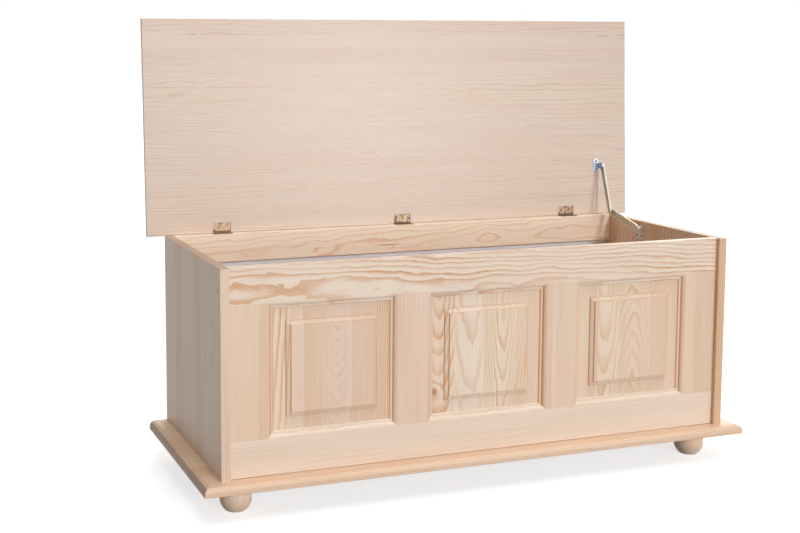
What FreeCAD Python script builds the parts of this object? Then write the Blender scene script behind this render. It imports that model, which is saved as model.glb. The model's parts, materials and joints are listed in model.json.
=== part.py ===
import FreeCAD, Part
import math
import os

# Pine blanket chest, shown with its lid open. Millimetres, +Z up, +Y to the back, floor at Z = 0.
# The pieces are drawn with Y = 0 at the front edges of the side boards, and moved at the end so
# that the origin is under the middle of the chest with its lid open.

# Carcass
CARCASS_WIDTH = 1104.0
CARCASS_DEPTH = 435.0
CARCASS_HEIGHT = 400.0
SIDE_THICK = 18.0
EASE = 0.8

# Base board and lid board, with a quirk and a quarter-round along their front and side edges
BASE_THICK = 18.0
BASE_FRONT_OVERHANG = 25.0
BASE_SIDE_OVERHANG = 38.0
BASE_ROUND = 10.0
LID_THICK = 18.0
LID_FRONT_OVERHANG = 21.0
LID_SIDE_OVERHANG = 38.0
LID_ROUND = 10.0
BOARD_QUIRK = 1.0
LID_OPEN_ANGLE = 93.0
LID_SEAT_GAP = 0.1

# Turned ball feet, flat above and below, each held by a stud
FOOT_DIAMETER = 62.0
FOOT_HEIGHT = 55.0
FOOT_WAIST_HEIGHT = 24.5
FOOT_NECK_DIAMETER = 44.0
FOOT_INSET_SIDE = 80.0
FOOT_INSET_END = 77.0
STUD_RADIUS = 4.0
STUD_IN_FOOT = 28.0
STUD_IN_BASE = 12.0
STUD_CHAMFER = 1.0

# Front frame: rails run from side to side, a little clear of the base, with stiles and muntins between them
FRAME_THICK = 18.0
FRAME_INSET = 9.0
FRAME_GAP = 1.0
TOP_RAIL_HEIGHT = 71.0
BOTTOM_RAIL_HEIGHT = 70.0
STILE_WIDTH = 76.0
MUNTIN_WIDTH = 67.0

# Moulding along the inner edges of the frame: a quirk, an ovolo, a flat fillet and a small round
MOULD_WIDTH = 12.5
MOULD_DEPTH = 8.5
MOULD_QUIRK = 0.9
OVOLO_WIDTH = 6.6
OVOLO_DEPTH = 5.0
FILLET_WIDTH = 3.2

# Raised and fielded panels in grooves of the frame
PANEL_NAMES = ("left_panel", "centre_panel", "right_panel")
GROOVE_DEPTH = 10.0
TONGUE_THICK = 5.5
TONGUE_PLAY = 0.1
TONGUE_END_GAP = 0.8
FIELD_MARGIN = 36.5
FIELD_SLOPE = 9.8
FIELD_RISE = 7.5
FIELD_STEP = 2.8
FIELD_STEP_RUN = 1.4

# Dowels between the rails and the uprights, two to a joint
DOWEL_RADIUS = 3.0
DOWEL_LENGTH = 40.0
DOWEL_SPACING = 36.0

# Back rail and hardboard back, which lies in a rebate of the rail, sides and base
BACK_RAIL_HEIGHT = 60.0
BACK_RAIL_THICK = 18.0
BACK_PANEL_THICK = 3.0
BACK_LAP = 10.0
BACK_PANEL_GAP = 0.2
BACK_PIN_COLUMN_COUNT = 7
BACK_PIN_ROW_COUNT = 3
PIN_HEAD_RADIUS = 1.7
PIN_HEAD_THICK = 0.8
PIN_SHANK_RADIUS = 0.7
PIN_LENGTH = 14.0

# Screws through the sides into the rail ends, under wood plugs
PLUG_RADIUS = 5.0
PLUG_LENGTH = 6.0
FRONT_PLUG_FROM_END = 43.0
BACK_PLUG_FROM_TOP = 15.0
SIDE_SCREW_HEAD = 4.0
SIDE_SCREW_SHANK = 2.0
SIDE_SCREW_LENGTH = 45.0

# Screws up through the base into the sides and the bottom rail
BASE_SCREW_HEAD = 4.0
BASE_SCREW_SHANK = 2.0
BASE_SCREW_LENGTH = 50.0
BASE_SCREW_SIDE_COUNT = 3
BASE_SCREW_RAIL_COUNT = 4
BASE_SCREW_END = 60.0

# Butt hinges: one leaf lies on the rail, and a mortise in the lid takes both leaves and the knuckles
HINGE_NAMES = ("left_hinge", "centre_hinge", "right_hinge")
HINGE_FROM_SIDE = 109.0
HINGE_LENGTH = 40.0
HINGE_BEHIND = 2.9
LEAF_REACH = 20.3
LEAF_THICK = 1.2
LEAF_GAP = 0.3
KNUCKLE_RADIUS = 2.6
KNUCKLE_COUNT = 5
KNUCKLE_GAP = 0.2
HINGE_PIN_RADIUS = 1.0
MORTISE_PLAY = 0.3
LID_BEHIND_PIN = 2.4
LID_BACK_ROUND = 3.0
HINGE_SCREW_HEAD = 2.6
HINGE_SCREW_SHANK = 1.2
HINGE_SCREW_LENGTH = 14.0
HINGE_SCREW_SPREAD = 14.0
HINGE_SCREW_REACH = 13.5
HINGE_SCREW_STAGGER = 3.0

# Folding stay: two channel arms between a bracket on the lid and a bracket on the right side
STAY_LID_REACH = 115.0
STAY_LID_DROP = 16.0
STAY_SIDE_SETBACK = 152.0
STAY_SIDE_DROP = 15.5
KNEE_BEHIND = 103.0
KNEE_RISE = 27.5
UPPER_ARM_WIDTH = 13.5
UPPER_KNEE_WIDTH = 10.0
LOWER_ARM_WIDTH = 17.0
LOWER_KNEE_WIDTH = 13.0
ARM_DEPTH = 4.0
ARM_WALL = 1.2
ARM_GAP = 0.6
BRACKET_THICK = 1.6
LUG_THICK = 1.8
LUG_WIDTH = 13.5
LID_PLATE_WIDTH = 12.5
LID_PLATE_LENGTH = 32.0
LID_SCREW_SPREAD = 10.0
SIDE_PLATE_LENGTH = 31.0
SIDE_PLATE_HEIGHT = 13.0
SIDE_PLATE_AHEAD = 3.5
SIDE_PLATE_DROP = 18.0
SIDE_SCREW_SPREAD = 10.0
BOSS_RADIUS = 3.6
BOSS_LENGTH = 9.5
RIVET_RADIUS = 2.0
RIVET_HEAD_RADIUS = 3.3
RIVET_HEAD_HEIGHT = 1.2
STAY_SCREW_HEAD = 2.6
STAY_SCREW_SHANK = 1.3
STAY_SCREW_LENGTH = 13.0

# Cross slot of every screw head, as shares of the head's radius and depth
SLOT_REACH = 0.6
SLOT_HALF_WIDTH = 0.13
SLOT_DEPTH = 0.5

# Clearances: fixed pieces in their holes, pins that turn, and play along a pivot
FIT = 0.1
RUNNING_FIT = 0.05
SIDE_PLAY = 0.2

# How far a cutting shape runs past the face that it cuts
PAST = 1.0

# Heights
BASE_TOP = FOOT_HEIGHT + BASE_THICK
CARCASS_TOP = BASE_TOP + CARCASS_HEIGHT
LID_UNDER = CARCASS_TOP + LID_SEAT_GAP
FRAME_LOW = BASE_TOP + FRAME_GAP
BOTTOM_JOINT = FRAME_LOW + BOTTOM_RAIL_HEIGHT
TOP_JOINT = CARCASS_TOP - TOP_RAIL_HEIGHT
BACK_RAIL_LOW = CARCASS_TOP - BACK_RAIL_HEIGHT

# Widths, from the middle of the chest
SIDE_OUT = CARCASS_WIDTH / 2
SIDE_IN = SIDE_OUT - SIDE_THICK
PANEL_COUNT = len(PANEL_NAMES)
OPENING_WIDTH = (2 * SIDE_IN - 2 * STILE_WIDTH - (PANEL_COUNT - 1) * MUNTIN_WIDTH) / PANEL_COUNT
OPENING_PITCH = OPENING_WIDTH + MUNTIN_WIDTH

# Depths, from the front edges of the sides
FRAME_BACK = FRAME_INSET + FRAME_THICK
FRAME_MIDDLE = FRAME_INSET + FRAME_THICK / 2
TONGUE_FRONT = FRAME_INSET + MOULD_DEPTH + TONGUE_PLAY
TONGUE_BACK = TONGUE_FRONT + TONGUE_THICK
FIELD_FRONT = TONGUE_FRONT - FIELD_RISE
BACK_RAIL_FRONT = CARCASS_DEPTH - BACK_RAIL_THICK
BACK_RAIL_MIDDLE = CARCASS_DEPTH - BACK_RAIL_THICK / 2
BACK_PANEL_FRONT = CARCASS_DEPTH - BACK_PANEL_THICK

# Hinge axis, and the lid's edges when it is shut
HINGE_Y = CARCASS_DEPTH + HINGE_BEHIND
HINGE_Z = CARCASS_TOP + LEAF_THICK + LEAF_GAP / 2
LID_FRONT = -LID_FRONT_OVERHANG
LID_BACK = HINGE_Y + LID_BEHIND_PIN
LID_TOP = LID_UNDER + LID_THICK

V = FreeCAD.Vector
AXIS_X = V(1, 0, 0)
AXIS_Z = V(0, 0, 1)
HINGE_POINT = V(0, HINGE_Y, HINGE_Z)

# Stay pivots: the lid's pivot with the lid shut, the side pivot, and the knee with the lid open
LID_PIVOT_SHUT = V(0, HINGE_Y - STAY_LID_REACH, LID_UNDER - STAY_LID_DROP)
SIDE_PIVOT = V(0, HINGE_Y - STAY_SIDE_SETBACK, CARCASS_TOP - STAY_SIDE_DROP)
KNEE = SIDE_PIVOT + V(0, KNEE_BEHIND, KNEE_RISE)

# Stay layers across the chest, from the right side inwards
BOSS_END = SIDE_IN - BRACKET_THICK - BOSS_LENGTH
LOWER_ARM_OUT = BOSS_END - SIDE_PLAY
LOWER_ARM_IN = LOWER_ARM_OUT - ARM_DEPTH
UPPER_ARM_OUT = LOWER_ARM_IN - ARM_GAP
UPPER_ARM_IN = UPPER_ARM_OUT - ARM_DEPTH
LUG_OUT = UPPER_ARM_IN - SIDE_PLAY
LUG_IN = LUG_OUT - LUG_THICK


def rear_reach():
    """How far back the flat top of the open lid stands from the front edges of the sides."""
    lean = math.radians(LID_OPEN_ANGLE - 90)
    along = HINGE_Y - LID_FRONT - LID_ROUND
    above = LID_TOP - HINGE_Z
    return HINGE_Y + along * math.sin(lean) + above * math.cos(lean)


FRAME_SHIFT = V(0, (BASE_FRONT_OVERHANG - rear_reach()) / 2, 0)


def save(name, *solids):
    """Write a piece, or a group of like pieces, as one named part."""
    shape = solids[0] if len(solids) == 1 else Part.makeCompound(list(solids))
    shape.translated(FRAME_SHIFT).exportStep("parts/" + name + ".step")


def opened(shape):
    """A shape drawn on the shut lid, turned with the lid to where it stands open."""
    return shape.rotated(HINGE_POINT, AXIS_X, -LID_OPEN_ANGLE)


def box(x, y, z):
    """Block between a pair of limits along each axis."""
    return Part.makeBox(x[1] - x[0], y[1] - y[0], z[1] - z[0], V(x[0], y[0], z[0]))


def rod(radius, start, end):
    """Round bar between two points."""
    return Part.makeCylinder(radius, (end - start).Length, start, end - start)


def along_x(z, y, x):
    return V(x, y, z)


def along_y(x, z, y):
    return V(x, y, z)


def along_z(x, y, z):
    return V(x, y, z)


def prism(place, limits, *outline):
    """Extruded outline. A step of the outline is a point, or an arc's (through, end) pair."""
    low, high = limits
    here = outline[0]
    edges = []
    for step in outline[1:] + (here,):
        if isinstance(step[0], tuple):
            through, end = step
            curve = Part.Arc(place(*here, low), place(*through, low), place(*end, low))
        else:
            end = step
            curve = Part.LineSegment(place(*here, low), place(*end, low))
        edges.append(curve.toShape())
        here = end
    face = Part.Face(Part.Wire(edges))
    return face.extrude(place(0, 0, high) - place(0, 0, low))


def round_point(centre_a, centre_b, radius, degrees):
    angle = math.radians(degrees)
    return (centre_a + radius * math.cos(angle), centre_b + radius * math.sin(angle))


def stadium(place, limits, start, end, radius, end_radius=None):
    """Plate with round ends about two points of its outline's plane, tapered if they differ."""
    end_radius = radius if end_radius is None else end_radius
    heading = math.degrees(math.atan2(end[1] - start[1], end[0] - start[0]))
    taper = (radius - end_radius) / math.dist(start, end)
    flank = math.degrees(math.acos(taper))
    return prism(
        place,
        limits,
        round_point(*start, radius, heading + flank),
        (round_point(*start, radius, heading + 180), round_point(*start, radius, heading - flank)),
        round_point(*end, end_radius, heading - flank),
        (round_point(*end, end_radius, heading), round_point(*end, end_radius, heading + flank)),
    )


def screw(head, shank, length, grow=0.0):
    """Countersunk wood screw pointing down from the origin, or its hole when it is grown."""
    head = head + grow
    shank = shank + grow
    tip = 2 * shank
    cone = head - shank
    points = [V(0, 0, 0), V(head, 0, 0), V(shank, 0, -cone), V(shank, 0, tip - length), V(0, 0, -length)]
    body = Part.Face(Part.makePolygon(points + points[:1])).revolve(V(0, 0, 0), AXIS_Z, 360)
    if grow:
        return body.fuse(Part.makeCylinder(head, PAST))
    reach = head * SLOT_REACH
    half = head * SLOT_HALF_WIDTH
    slot = box((-reach, reach), (-half, half), (-cone * SLOT_DEPTH, PAST))
    return body.cut(slot).cut(slot.rotated(V(0, 0, 0), AXIS_Z, 90))


def screws(sizes, points, direction, grow=0.0):
    """Copies of a screw with their heads at the given points."""
    turn = FreeCAD.Rotation(V(0, 0, -1), direction)
    pattern = screw(*sizes, grow)
    copies = []
    for point in points:
        copy = pattern.copy()
        copy.Placement = FreeCAD.Placement(point, turn)
        copies.append(copy)
    return copies


def ease(shape, chosen):
    """Round off the edges whose middle passes the test, as sanding does."""
    return shape.makeFillet(EASE, [edge for edge in shape.Edges if chosen(edge.CenterOfMass)])


def spread(first, last, count):
    """Evenly spaced values from first to last."""
    return [first + (last - first) * n / (count - 1) for n in range(count)]


def moulded_board(half_width, front, back, low, thick, radius):
    """Board with a quirk and a quarter-round at the front and both ends, mitred at the corners."""
    high = low + thick
    crown = high - BOARD_QUIRK
    start = crown - radius
    reach = half_width - radius
    lengthways = prism(
        along_x,
        (-half_width, half_width),
        (low, front),
        (start, front),
        (round_point(start, front + radius, radius, -45), (crown, front + radius)),
        (high, front + radius),
        (high, back),
        (low, back),
    )
    crossways = prism(
        along_y,
        (front, back),
        (-half_width, low),
        (half_width, low),
        (half_width, start),
        (round_point(reach, start, radius, 45), (reach, crown)),
        (reach, high),
        (-reach, high),
        (-reach, crown),
        (round_point(-reach, start, radius, 135), (-half_width, start)),
    )
    board = lengthways.common(crossways)
    return ease(board, lambda middle: middle.z < low + EASE)


# Fixings

SIDE_SCREW = (SIDE_SCREW_HEAD, SIDE_SCREW_SHANK, SIDE_SCREW_LENGTH)
BASE_SCREW = (BASE_SCREW_HEAD, BASE_SCREW_SHANK, BASE_SCREW_LENGTH)
HINGE_SCREW = (HINGE_SCREW_HEAD, HINGE_SCREW_SHANK, HINGE_SCREW_LENGTH)
STAY_SCREW = (STAY_SCREW_HEAD, STAY_SCREW_SHANK, STAY_SCREW_LENGTH)


def plug_places():
    """Depth and height of each plug in a side board."""
    front_low = (FRAME_MIDDLE, BASE_TOP + FRONT_PLUG_FROM_END)
    front_high = (FRAME_MIDDLE, CARCASS_TOP - FRONT_PLUG_FROM_END)
    back_high = (BACK_RAIL_MIDDLE, CARCASS_TOP - BACK_PLUG_FROM_TOP)
    return [front_low, front_high, back_high]


def plugs(side, grow=0.0):
    """Wood plugs in one side board: side is -1 for the left and 1 for the right."""
    face = side * (SIDE_OUT + (PAST if grow else 0))
    floor = side * (SIDE_OUT - PLUG_LENGTH)
    return [rod(PLUG_RADIUS + grow, V(floor, y, z), V(face, y, z)) for y, z in plug_places()]


def side_screws(side, grow=0.0):
    """Screws under the plugs, into the ends of the rails."""
    heads = [V(side * (SIDE_OUT - PLUG_LENGTH), y, z) for y, z in plug_places()]
    return screws(SIDE_SCREW, heads, V(-side, 0, 0), grow)


def base_screws(grow=0.0):
    """Screws up through the base into both sides and the bottom rail."""
    across = SIDE_OUT - SIDE_THICK / 2
    rows = spread(BASE_SCREW_END, CARCASS_DEPTH - BASE_SCREW_END, BASE_SCREW_SIDE_COUNT)
    heads = [V(side * across, y, FOOT_HEIGHT) for side in (-1, 1) for y in rows]
    reach = SIDE_IN - BASE_SCREW_END
    heads += [V(x, FRAME_MIDDLE, FOOT_HEIGHT) for x in spread(-reach, reach, BASE_SCREW_RAIL_COUNT)]
    return screws(BASE_SCREW, heads, AXIS_Z, grow)


def dowels(grow=0.0):
    """Dowels standing across both joints of every stile and muntin."""
    half = DOWEL_LENGTH / 2 + grow
    pegs = []
    for low, high in uprights():
        for x in ((low + high - DOWEL_SPACING) / 2, (low + high + DOWEL_SPACING) / 2):
            for z in (BOTTOM_JOINT, TOP_JOINT):
                low_end = V(x, FRAME_MIDDLE, z - half)
                high_end = V(x, FRAME_MIDDLE, z + half)
                pegs.append(rod(DOWEL_RADIUS + grow, low_end, high_end))
    return pegs


def back_pins(grow=0.0):
    """Flat-headed pins through the hardboard into the rail, sides and base."""
    middle = BACK_LAP / 2
    low = BASE_TOP - middle
    high = BACK_RAIL_LOW + middle
    across = SIDE_IN + middle
    rows = spread(low, high, BACK_PIN_ROW_COUNT + 2)[1:-1]
    places = [(x, z) for z in (low, high) for x in spread(-SIDE_IN, SIDE_IN, BACK_PIN_COLUMN_COUNT)[1:-1]]
    places += [(side * across, z) for side in (-1, 1) for z in rows]
    pins = []
    for x, z in places:
        head = V(x, CARCASS_DEPTH + PIN_HEAD_THICK, z)
        under = V(x, CARCASS_DEPTH, z)
        tip = V(x, CARCASS_DEPTH - PIN_LENGTH, z)
        shank = rod(PIN_SHANK_RADIUS + grow, tip, under)
        pins.append(shank if grow else shank.fuse(rod(PIN_HEAD_RADIUS, under, head)).removeSplitter())
    return pins


# Base and feet


def foot_places():
    """Centre of each foot, named by its corner."""
    across = SIDE_OUT + BASE_SIDE_OVERHANG - FOOT_INSET_SIDE
    front = FOOT_INSET_END - BASE_FRONT_OVERHANG
    back = CARCASS_DEPTH - FOOT_INSET_END
    return {
        "front_left_foot": V(-across, front, 0),
        "front_right_foot": V(across, front, 0),
        "back_left_foot": V(-across, back, 0),
        "back_right_foot": V(across, back, 0),
    }


def foot_studs(grow=0.0):
    """Studs that hold the feet under the base."""
    low = FOOT_HEIGHT - STUD_IN_FOOT - grow
    height = STUD_IN_FOOT + STUD_IN_BASE + 2 * grow
    studs = []
    for centre in foot_places().values():
        stud = Part.makeCylinder(STUD_RADIUS + grow, height, centre + V(0, 0, low))
        ends = [edge for edge in stud.Edges if edge.Closed]
        studs.append(stud if grow else stud.makeChamfer(STUD_CHAMFER, ends))
    return studs


def section_arc(centre_x, centre_z, radius, start, end):
    """Three points of an arc in the plane of a foot's section, between two angles."""
    places = [round_point(centre_x, centre_z, radius, angle) for angle in (start, (start + end) / 2, end)]
    return [V(x, 0, z) for x, z in places]


def foot_profile():
    """Half section of a foot: a flat sole, a ball up to the waist, and a longer curve in to the neck."""
    radius = FOOT_DIAMETER / 2
    rise = FOOT_HEIGHT - FOOT_WAIST_HEIGHT
    sole_turn = math.degrees(math.asin(FOOT_WAIST_HEIGHT / radius))
    neck_turn = math.degrees(2 * math.atan((radius - FOOT_NECK_DIAMETER / 2) / rise))
    bend = rise / math.sin(math.radians(neck_turn))
    ball = section_arc(0, FOOT_WAIST_HEIGHT, radius, -sole_turn, 0)
    taper = section_arc(radius - bend, FOOT_WAIST_HEIGHT, bend, 0, neck_turn)
    low = V(0, 0, 0)
    high = V(0, 0, FOOT_HEIGHT)
    curves = [
        Part.LineSegment(low, ball[0]),
        Part.Arc(*ball),
        Part.Arc(*taper),
        Part.LineSegment(taper[2], high),
        Part.LineSegment(high, low),
    ]
    return Part.Face(Part.Wire([curve.toShape() for curve in curves]))


def foot(centre):
    """Turned ball foot, flat where it meets the floor and the base."""
    body = foot_profile().revolve(V(0, 0, 0), AXIS_Z, 360)
    return body.translated(centre).cut(Part.makeCompound(foot_studs(FIT)))


def base_board():
    half_width = SIDE_OUT + BASE_SIDE_OVERHANG
    depth = (-BASE_FRONT_OVERHANG, CARCASS_DEPTH)
    board = moulded_board(half_width, *depth, FOOT_HEIGHT, BASE_THICK, BASE_ROUND)
    cuts = foot_studs(FIT) + base_screws(FIT) + [back_rebate()] + back_pins(FIT)
    return board.cut(Part.makeCompound(cuts))


# Carcass


def back_rebate():
    """Space for the hardboard in the back edges of the rail, sides and base."""
    across = SIDE_IN + BACK_LAP + BACK_PANEL_GAP
    low = BASE_TOP - BACK_LAP - BACK_PANEL_GAP
    high = BACK_RAIL_LOW + BACK_LAP + BACK_PANEL_GAP
    return box((-across, across), (BACK_PANEL_FRONT, CARCASS_DEPTH + PAST), (low, high))


def side_board(side):
    """Side board: side is -1 for the left and 1 for the right."""
    inner, outer = sorted((side * SIDE_IN, side * SIDE_OUT))
    board = box((inner, outer), (0, CARCASS_DEPTH), (BASE_TOP, CARCASS_TOP))
    board = ease(board, lambda middle: middle.z > BASE_TOP + EASE)
    cuts = plugs(side, FIT) + side_screws(side, FIT) + base_screws(FIT) + [back_rebate()] + back_pins(FIT)
    if side > 0:
        cuts += side_bracket_screws(FIT)
    return board.cut(Part.makeCompound(cuts))


def hinge_places():
    """Middle of each hinge across the chest, by name."""
    reach = SIDE_IN - HINGE_FROM_SIDE
    return dict(zip(HINGE_NAMES, spread(-reach, reach, len(HINGE_NAMES))))


def long_top_edge(middle):
    return middle.z > CARCASS_TOP - EASE and abs(middle.x) < SIDE_IN - EASE


def back_rail():
    rail = box((-SIDE_IN, SIDE_IN), (BACK_RAIL_FRONT, CARCASS_DEPTH), (BACK_RAIL_LOW, CARCASS_TOP))
    rail = ease(rail, long_top_edge)
    cuts = rail_hinge_screws(FIT) + side_screws(-1, FIT) + side_screws(1, FIT)
    cuts += [back_rebate()] + back_pins(FIT)
    return rail.cut(Part.makeCompound(cuts))


def back_panel():
    """Thin hardboard, set in its rebate with a little room all round."""
    across = SIDE_IN + BACK_LAP
    board = box(
        (-across, across),
        (BACK_PANEL_FRONT, CARCASS_DEPTH),
        (BASE_TOP - BACK_LAP, BACK_RAIL_LOW + BACK_LAP),
    )
    return board.cut(Part.makeCompound(back_pins(FIT)))


# Front frame and panels


def openings():
    """Left and right limits of each panel opening at the face of the frame."""
    first = -SIDE_IN + STILE_WIDTH
    lefts = [first + n * OPENING_PITCH for n in range(PANEL_COUNT)]
    return [(left, left + OPENING_WIDTH) for left in lefts]


def uprights():
    """Left and right limits of each stile and muntin at the face of the frame."""
    edges = [-SIDE_IN] + [x for opening in openings() for x in opening] + [SIDE_IN]
    return list(zip(edges[0::2], edges[1::2]))


def moulded_outline(low, high):
    """Section of an opening from one moulded edge to the other: a quirk, an ovolo, a fillet and a round."""
    quirk = FRAME_INSET + MOULD_QUIRK
    step = quirk + OVOLO_DEPTH
    floor = FRAME_INSET + MOULD_DEPTH
    lip = OVOLO_WIDTH + FILLET_WIDTH
    diagonal = math.sqrt(0.5)
    ovolo = (OVOLO_WIDTH * diagonal, step - OVOLO_DEPTH * diagonal)
    rounding = (lip + (MOULD_WIDTH - lip) * diagonal, floor - (floor - step) * diagonal)

    def near(offset, depth):
        return (low + offset, depth)

    def far(offset, depth):
        return (high - offset, depth)

    return [
        near(0, FRAME_INSET - PAST),
        near(0, quirk),
        (near(*ovolo), near(OVOLO_WIDTH, step)),
        near(lip, step),
        (near(*rounding), near(MOULD_WIDTH, floor)),
        near(MOULD_WIDTH, FRAME_BACK + PAST),
        far(MOULD_WIDTH, FRAME_BACK + PAST),
        far(MOULD_WIDTH, floor),
        (far(*rounding), far(lip, step)),
        far(OVOLO_WIDTH, step),
        (far(*ovolo), far(0, quirk)),
        far(0, FRAME_INSET - PAST),
    ]


def opening_void(left, right):
    """What an opening and its panel groove take out of the frame, mitred at the corners."""
    upright = prism(along_z, (BOTTOM_JOINT, TOP_JOINT), *moulded_outline(left, right))
    level = prism(along_x, (left, right), *moulded_outline(BOTTOM_JOINT, TOP_JOINT))
    inset = MOULD_WIDTH - GROOVE_DEPTH
    groove = box(
        (left + inset, right - inset),
        (TONGUE_FRONT - TONGUE_PLAY, TONGUE_BACK + TONGUE_PLAY),
        (BOTTOM_JOINT + inset, TOP_JOINT - inset),
    )
    return [upright.common(level), groove]


def frame_cuts():
    """Everything that is cut from the members of the front frame."""
    cuts = dowels(FIT) + base_screws(FIT) + side_screws(-1, FIT) + side_screws(1, FIT)
    for left, right in openings():
        cuts += opening_void(left, right)
    return cuts


def frame_slab(*outline):
    return prism(along_y, (FRAME_INSET, FRAME_BACK), *outline)


def frame_rail(joint, outer):
    """Rail between its joint line and its outer edge, with a mitred moulding at each opening."""
    inner = joint + MOULD_WIDTH * math.copysign(1, joint - outer)
    rail = box((-SIDE_IN, SIDE_IN), (FRAME_INSET, FRAME_BACK), sorted((joint, outer)))
    if outer > joint:
        rail = ease(rail, long_top_edge)
    strips = [
        frame_slab((left, joint), (right, joint), (right - MOULD_WIDTH, inner), (left + MOULD_WIDTH, inner))
        for left, right in openings()
    ]
    return rail.multiFuse(strips).removeSplitter()


def frame_upright(left, right):
    """Stile or muntin between the joint lines, moulded on each edge that meets an opening."""
    upright = box((left, right), (FRAME_INSET, FRAME_BACK), (BOTTOM_JOINT, TOP_JOINT))
    strips = []
    for edge, outward in ((left, -1), (right, 1)):
        if abs(edge) < SIDE_IN:
            inner = edge + outward * MOULD_WIDTH
            low = (inner, BOTTOM_JOINT + MOULD_WIDTH)
            high = (inner, TOP_JOINT - MOULD_WIDTH)
            strips.append(frame_slab((edge, BOTTOM_JOINT), low, high, (edge, TOP_JOINT)))
    return upright.multiFuse(strips).removeSplitter()


def field_outline(low, high):
    """Section of the raised field: a step, a slope and a second step up from the border."""
    base = TONGUE_FRONT + TONGUE_THICK / 2
    rise = [
        (0, base),
        (0, TONGUE_FRONT),
        (FIELD_STEP_RUN, TONGUE_FRONT - FIELD_STEP),
        (FIELD_SLOPE - FIELD_STEP_RUN, FIELD_FRONT + FIELD_STEP),
        (FIELD_SLOPE, FIELD_FRONT),
    ]
    near = [(low + FIELD_MARGIN + offset, depth) for offset, depth in rise]
    far = [(high - FIELD_MARGIN - offset, depth) for offset, depth in reversed(rise)]
    return near + far


def panel(left, right):
    """Raised and fielded panel, with a thin border that runs into the frame's grooves."""
    inset = MOULD_WIDTH - GROOVE_DEPTH + TONGUE_END_GAP
    border = box(
        (left + inset, right - inset),
        (TONGUE_FRONT, TONGUE_BACK),
        (BOTTOM_JOINT + inset, TOP_JOINT - inset),
    )
    upright = prism(along_z, (BOTTOM_JOINT, TOP_JOINT), *field_outline(left, right))
    level = prism(along_x, (left, right), *field_outline(BOTTOM_JOINT, TOP_JOINT))
    return border.fuse(upright.common(level)).removeSplitter()


# Hinges


def hinge_leaf(middle, side):
    """Hinge leaf with its knuckles: side is -1 for the rail's leaf and 1 for the lid's, lid shut."""
    bare_face = HINGE_Z + side * LEAF_GAP / 2
    low, high = sorted((bare_face, bare_face + side * LEAF_THICK))
    half = HINGE_LENGTH / 2
    plate = box((middle - half, middle + half), (HINGE_Y - LEAF_REACH, HINGE_Y), (low, high))
    pitch = HINGE_LENGTH / KNUCKLE_COUNT
    tubes = []
    gaps = []
    for n in range(KNUCKLE_COUNT):
        start = middle - half + n * pitch
        own = n % 2 == (0 if side < 0 else 1)
        shrink = KNUCKLE_GAP / 2 * (1 if own else -1)
        limits = (start + shrink, start + pitch - shrink)
        if own:
            tubes.append(rod(KNUCKLE_RADIUS, V(limits[0], HINGE_Y, HINGE_Z), V(limits[1], HINGE_Y, HINGE_Z)))
        else:
            reach = KNUCKLE_RADIUS + KNUCKLE_GAP
            gaps.append(box(limits, (HINGE_Y - reach, HINGE_Y + reach), (HINGE_Z - reach, HINGE_Z + reach)))
    bore = hinge_pin(middle, RUNNING_FIT)
    screw_holes = rail_hinge_screws(FIT) if side < 0 else lid_hinge_screws(FIT)
    leaf = plate.multiFuse(tubes).removeSplitter()
    return leaf.cut(Part.makeCompound(gaps + [bore] + screw_holes))


def hinge_pin(middle, grow=0.0):
    half = HINGE_LENGTH / 2
    left_end = V(middle - half, HINGE_Y, HINGE_Z)
    right_end = V(middle + half, HINGE_Y, HINGE_Z)
    return rod(HINGE_PIN_RADIUS + grow, left_end, right_end)


def hinge_screw_heads(side):
    """Places of the three staggered screws in each leaf, at the leaf's bare face."""
    level = HINGE_Z + side * LEAF_GAP / 2
    heads = []
    for middle in hinge_places().values():
        for x in spread(-HINGE_SCREW_SPREAD, HINGE_SCREW_SPREAD, 3):
            stagger = 0 if x else HINGE_SCREW_STAGGER
            heads.append(V(middle + x, HINGE_Y - HINGE_SCREW_REACH + stagger, level))
    return heads


def rail_hinge_screws(grow=0.0):
    return screws(HINGE_SCREW, hinge_screw_heads(-1), V(0, 0, -1), grow)


def lid_hinge_screws(grow=0.0):
    return screws(HINGE_SCREW, hinge_screw_heads(1), AXIS_Z, grow)


# Lid


def lid_mortises():
    """What is cut from the lid's underside for the leaves and the knuckles of the hinges."""
    half = HINGE_LENGTH / 2 + MORTISE_PLAY
    clear = KNUCKLE_RADIUS + MORTISE_PLAY
    cuts = []
    for middle in hinge_places().values():
        for reach, top in ((LEAF_REACH + MORTISE_PLAY, LEAF_GAP / 2 + LEAF_THICK), (clear, clear)):
            depth = (HINGE_Y - reach, LID_BACK + PAST)
            cuts.append(box((middle - half, middle + half), depth, (LID_UNDER - PAST, HINGE_Z + top)))
    return cuts


def lid_back_rounding():
    """What is cut from the lid to round its back edge underneath."""
    half_width = SIDE_OUT + LID_SIDE_OVERHANG + PAST
    start = LID_BACK - LID_BACK_ROUND
    crown = LID_UNDER + LID_BACK_ROUND
    middle = round_point(crown, start, LID_BACK_ROUND, 135)
    return prism(
        along_x,
        (-half_width, half_width),
        (LID_UNDER - PAST, start),
        (LID_UNDER, start),
        (middle, (crown, LID_BACK)),
        (crown, LID_BACK + PAST),
        (LID_UNDER - PAST, LID_BACK + PAST),
    )


def lid_board():
    """Lid board, drawn shut."""
    half_width = SIDE_OUT + LID_SIDE_OVERHANG
    board = moulded_board(half_width, LID_FRONT, LID_BACK, LID_UNDER, LID_THICK, LID_ROUND)
    cuts = lid_mortises() + [lid_back_rounding()] + lid_hinge_screws(FIT) + lid_bracket_screws(FIT)
    return board.cut(Part.makeCompound(cuts))


# Stay


def rivet(start, end):
    """Rivet between two faces, with a flat round head past each of them."""
    along = (end - start).normalize() * RIVET_HEAD_HEIGHT
    shank = rod(RIVET_RADIUS, start, end)
    heads = [rod(RIVET_HEAD_RADIUS, start - along, start), rod(RIVET_HEAD_RADIUS, end, end + along)]
    return shank.multiFuse(heads).removeSplitter()


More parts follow.
